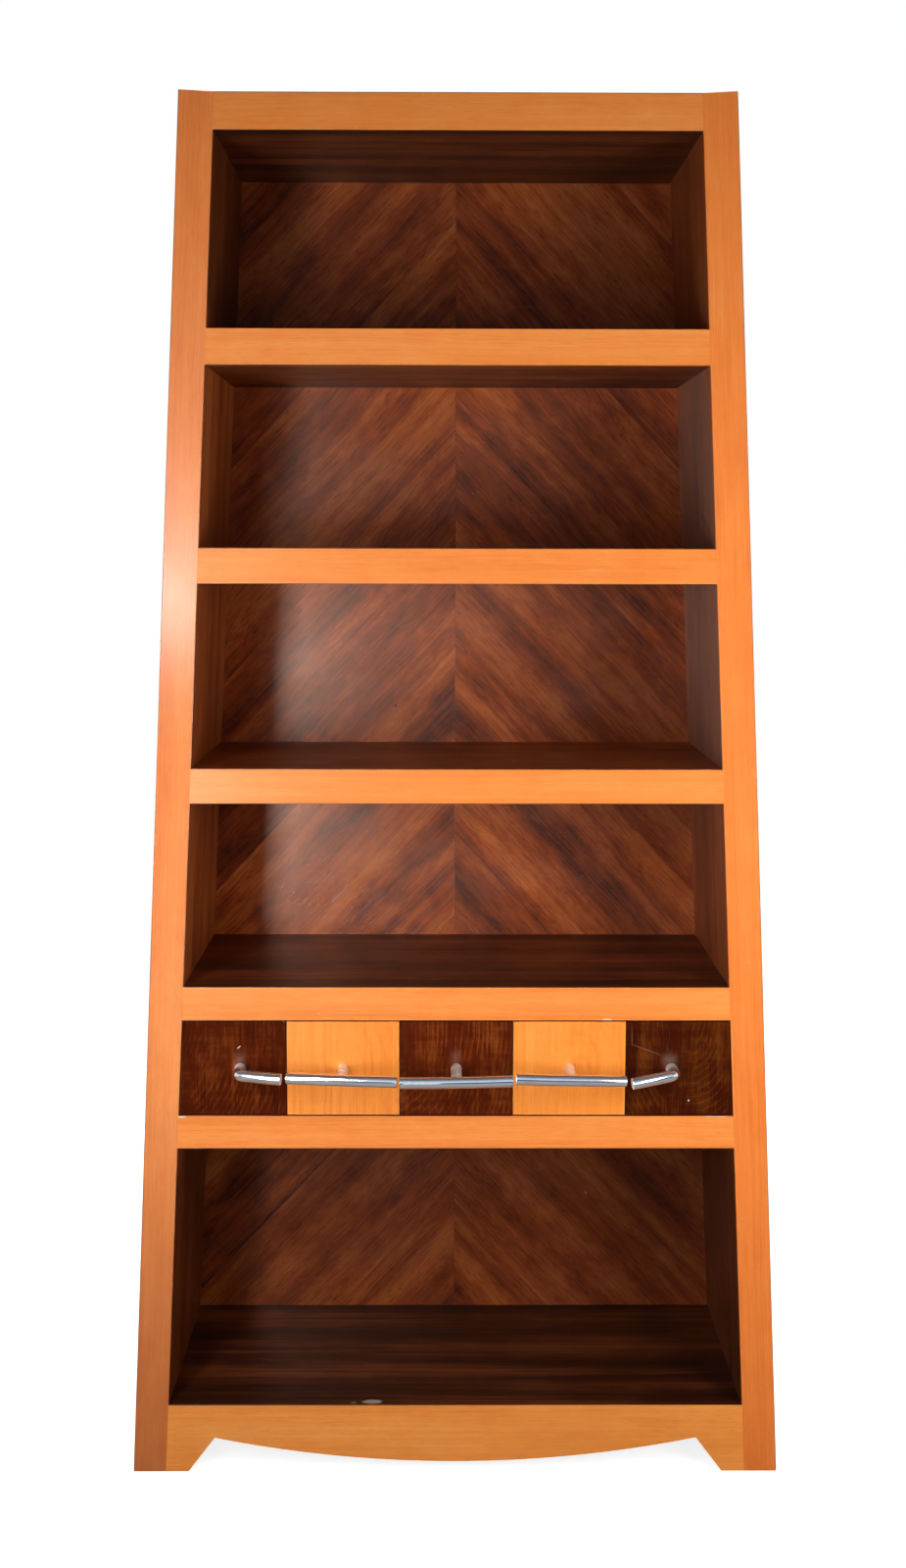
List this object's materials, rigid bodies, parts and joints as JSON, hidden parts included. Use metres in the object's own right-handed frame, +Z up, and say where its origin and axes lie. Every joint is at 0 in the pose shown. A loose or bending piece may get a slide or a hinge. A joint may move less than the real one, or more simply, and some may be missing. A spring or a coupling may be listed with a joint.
{
  "type": "bookcase with bottom drawers",
  "caption": "Tall bookcase tapering to the top, with open bays, light face frame, dark inside, and a row of inset drawers whose chrome pulls form one bowed bar above a bowed apron.",
  "frame": {"origin": "on the floor, at the middle of the footprint with the pulls included", "axes": "+Z up, +Y to the back, +X to the right of someone facing the drawers"},
  "size_m": [0.924, 0.419, 1.9025],
  "materials": {
    "light_wood": "satin clear lacquer",
    "dark_veneer": "satin lacquer",
    "back_veneer": "bookmatched veneer, satin lacquer",
    "drawer_dark": "gloss lacquer",
    "drawer_light": "satin lacquer",
    "box_wood": "unfinished",
    "box_bottom": "plywood",
    "chrome": "polished",
    "steel": "zinc plated"
  },
  "bodies": {
    "case": {"left_side": "dark_veneer", "right_side": "dark_veneer", "top_board": "dark_veneer", "upper_shelf": "dark_veneer", "middle_shelf": "dark_veneer", "lower_shelf": "dark_veneer", "drawer_cover": "dark_veneer", "drawer_deck": "dark_veneer", "bottom_board": "dark_veneer", "left_stile": "light_wood", "right_stile": "light_wood", "top_rail": "light_wood", "upper_shelf_rail": "light_wood", "middle_shelf_rail": "light_wood", "lower_shelf_rail": "light_wood", "drawer_cover_rail": "light_wood", "drawer_deck_rail": "light_wood", "apron": "light_wood", "back_panel": "back_veneer", "drawer_dividers": "box_wood", "end_drawer_guides": "box_wood"},
    "drawer_1": {"drawer_1_front": "drawer_dark", "drawer_1_left_side": "box_wood", "drawer_1_right_side": "box_wood", "drawer_1_back": "box_wood", "drawer_1_bottom": "box_bottom", "drawer_1_bar": "chrome", "drawer_1_screw": "steel"},
    "drawer_2": {"drawer_2_front": "drawer_light", "drawer_2_left_side": "box_wood", "drawer_2_right_side": "box_wood", "drawer_2_back": "box_wood", "drawer_2_bottom": "box_bottom", "drawer_2_bar": "chrome", "drawer_2_screw": "steel", "drawer_2_post": "chrome"},
    "drawer_3": {"drawer_3_front": "drawer_dark", "drawer_3_left_side": "box_wood", "drawer_3_right_side": "box_wood", "drawer_3_back": "box_wood", "drawer_3_bottom": "box_bottom", "drawer_3_bar": "chrome", "drawer_3_screw": "steel", "drawer_3_post": "chrome"},
    "drawer_4": {"drawer_4_front": "drawer_light", "drawer_4_left_side": "box_wood", "drawer_4_right_side": "box_wood", "drawer_4_back": "box_wood", "drawer_4_bottom": "box_bottom", "drawer_4_bar": "chrome", "drawer_4_screw": "steel", "drawer_4_post": "chrome"},
    "drawer_5": {"drawer_5_front": "drawer_dark", "drawer_5_left_side": "box_wood", "drawer_5_right_side": "box_wood", "drawer_5_back": "box_wood", "drawer_5_bottom": "box_bottom", "drawer_5_bar": "chrome", "drawer_5_screw": "steel"}
  },
  "joints": [
    {"name": "drawer_1_slide", "type": "slide", "parent": "case", "child": "drawer_1", "axis": [0, -1, 0], "range_m": [0, 0.22]},
    {"name": "drawer_2_slide", "type": "slide", "parent": "case", "child": "drawer_2", "axis": [0, -1, 0], "range_m": [0, 0.22]},
    {"name": "drawer_3_slide", "type": "slide", "parent": "case", "child": "drawer_3", "axis": [0, -1, 0], "range_m": [0, 0.22]},
    {"name": "drawer_4_slide", "type": "slide", "parent": "case", "child": "drawer_4", "axis": [0, -1, 0], "range_m": [0, 0.22]},
    {"name": "drawer_5_slide", "type": "slide", "parent": "case", "child": "drawer_5", "axis": [0, -1, 0], "range_m": [0, 0.22]}
  ]
}
